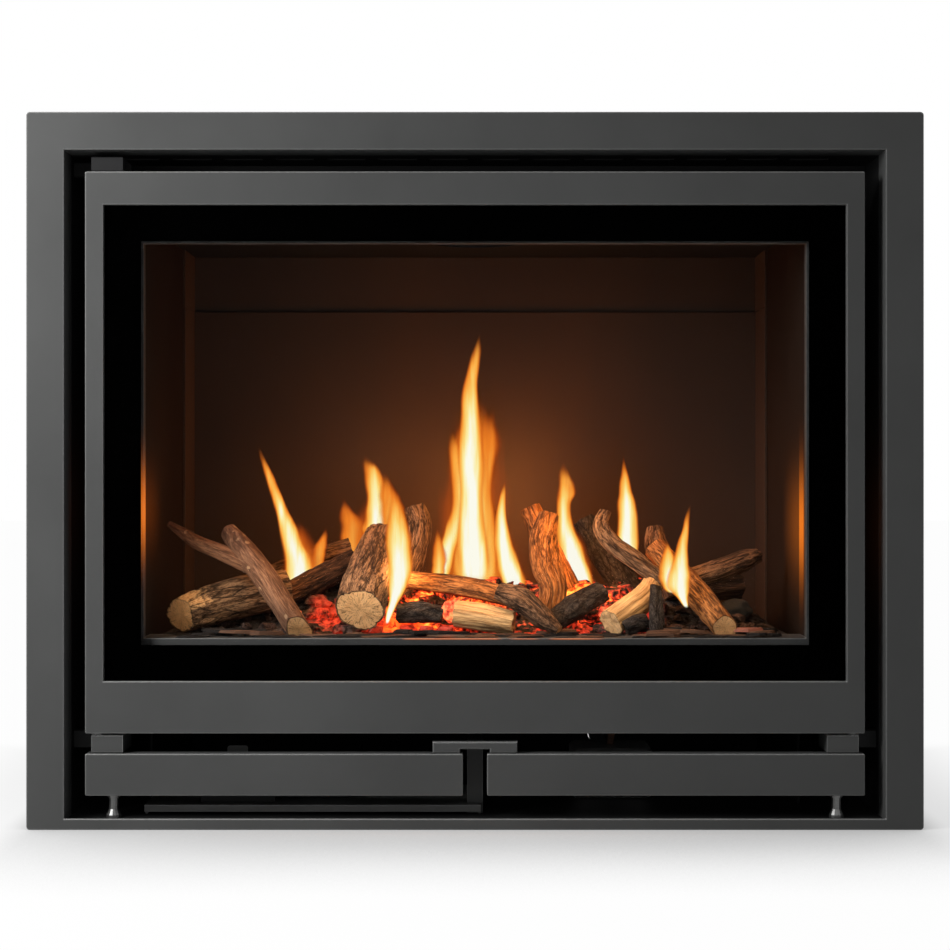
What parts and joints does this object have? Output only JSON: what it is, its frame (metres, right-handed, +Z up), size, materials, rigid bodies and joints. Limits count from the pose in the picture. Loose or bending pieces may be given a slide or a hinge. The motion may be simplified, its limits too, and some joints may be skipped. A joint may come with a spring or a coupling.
{
  "type": "gas fireplace",
  "caption": "Inset gas fireplace with a wide steel surround, hinged glass door, swinging lower flaps, lined firebox and ceramic log set.",
  "frame": {"origin": "on the hearth under the middle of the whole fire's box", "axes": "+Z up, +X to the right seen from the room, +Y from the room into the wall"},
  "size_m": [0.78, 0.4002, 0.64],
  "materials": {
    "anthracite": "satin textured powder coat",
    "black_paint": "matt black heat resistant paint",
    "liner_paint": "matt dark brown fired liner",
    "pane_glass": "clear ceramic glass with a black enamel border",
    "plated_steel": "zinc plated",
    "rope_fibre": "knitted glass fibre rope",
    "control_plastic": "matt moulded",
    "valve_alloy": "die cast",
    "copper_pipe": "drawn copper pipe",
    "galvanised": "galvanised sheet",
    "ember_ceramic": "moulded fibre ember bed",
    "bark_ceramic": "painted bark",
    "pale_ceramic": "painted split wood",
    "char_ceramic": "painted charred wood"
  },
  "bodies": {
    "casing": {"surround_frame": "anthracite", "casing_left": "black_paint", "casing_right": "black_paint", "casing_top": "black_paint", "casing_base": "black_paint", "casing_back": "black_paint", "bulkhead": "black_paint", "firebox_front": "black_paint", "firebox_floor": "black_paint", "liner_back_lower": "liner_paint", "liner_back_upper": "liner_paint", "liner_left": "liner_paint", "liner_right": "liner_paint", "firebox_ceiling": "black_paint", "hinge_bracket_left": "black_paint", "hinge_bracket_right": "black_paint", "hinge_bracket_upper": "black_paint", "flap_pivot_left": "black_paint", "flap_pivot_right": "black_paint", "catch_bracket": "black_paint", "centre_post": "black_paint", "control_tray": "black_paint", "control_receiver": "control_plastic", "control_guide": "galvanised", "gas_valve": "valve_alloy", "gas_inlet_pipe": "galvanised", "burner_feed_pipe": "copper_pipe", "burner_tray": "black_paint", "pilot_burner": "plated_steel", "flue_collar_outer": "galvanised", "flue_collar_inner": "galvanised", "branch_left_fork": "bark_ceramic", "log_centre_left_big": "bark_ceramic", "log_right_front": "bark_ceramic", "log_right_light": "pale_ceramic", "wedge_right_dark": "char_ceramic", "log_centre_split": "pale_ceramic", "log_centre_fork": "bark_ceramic", "log_centre_long": "bark_ceramic", "log_centre_right_upright": "bark_ceramic", "log_left_front": "bark_ceramic", "branch_right_hook": "bark_ceramic", "log_centre_left_curved": "bark_ceramic", "log_right_split": "bark_ceramic", "log_charcoal_front": "char_ceramic", "log_left_charred": "char_ceramic", "log_left_back": "char_ceramic", "log_centre_right_back": "bark_ceramic", "log_right_dark": "char_ceramic", "log_right_knot": "bark_ceramic", "ember_bed": "ember_ceramic"},
    "door": {"door_frame": "anthracite", "door_glass": "pane_glass", "door_gasket": "rope_fibre", "glass_retainer_top": "plated_steel", "glass_retainer_bottom": "plated_steel"},
    "left_flap": {"flap_left": "anthracite"},
    "right_flap": {"flap_right": "anthracite"},
    "lever": {"control_lever": "black_paint"},
    "knob": {"valve_knob": "control_plastic"}
  },
  "joints": [
    {"name": "door_swing", "type": "hinge", "parent": "casing", "child": "door", "pos_m": [-0.331, -0.18615, 0.083], "axis": [0, 0, -1], "range_deg": [0, 100]},
    {"name": "left_flap_swing", "type": "hinge", "parent": "casing", "child": "left_flap", "pos_m": [-0.317, -0.18215, 0.0287], "axis": [0, 0, -1], "range_deg": [0, 90]},
    {"name": "right_flap_swing", "type": "hinge", "parent": "casing", "child": "right_flap", "pos_m": [0.317, -0.18215, 0.0287], "axis": [0, 0, 1], "range_deg": [0, 90]},
    {"name": "lever_slide", "type": "slide", "parent": "casing", "child": "lever", "axis": [1, 0, 0], "range_m": [-0.012, 0.012]},
    {"name": "knob_turn", "type": "hinge", "parent": "casing", "child": "knob", "pos_m": [0.1275, -0.08315, 0.034], "axis": [0, -1, 0], "range_deg": [0, 90]}
  ]
}
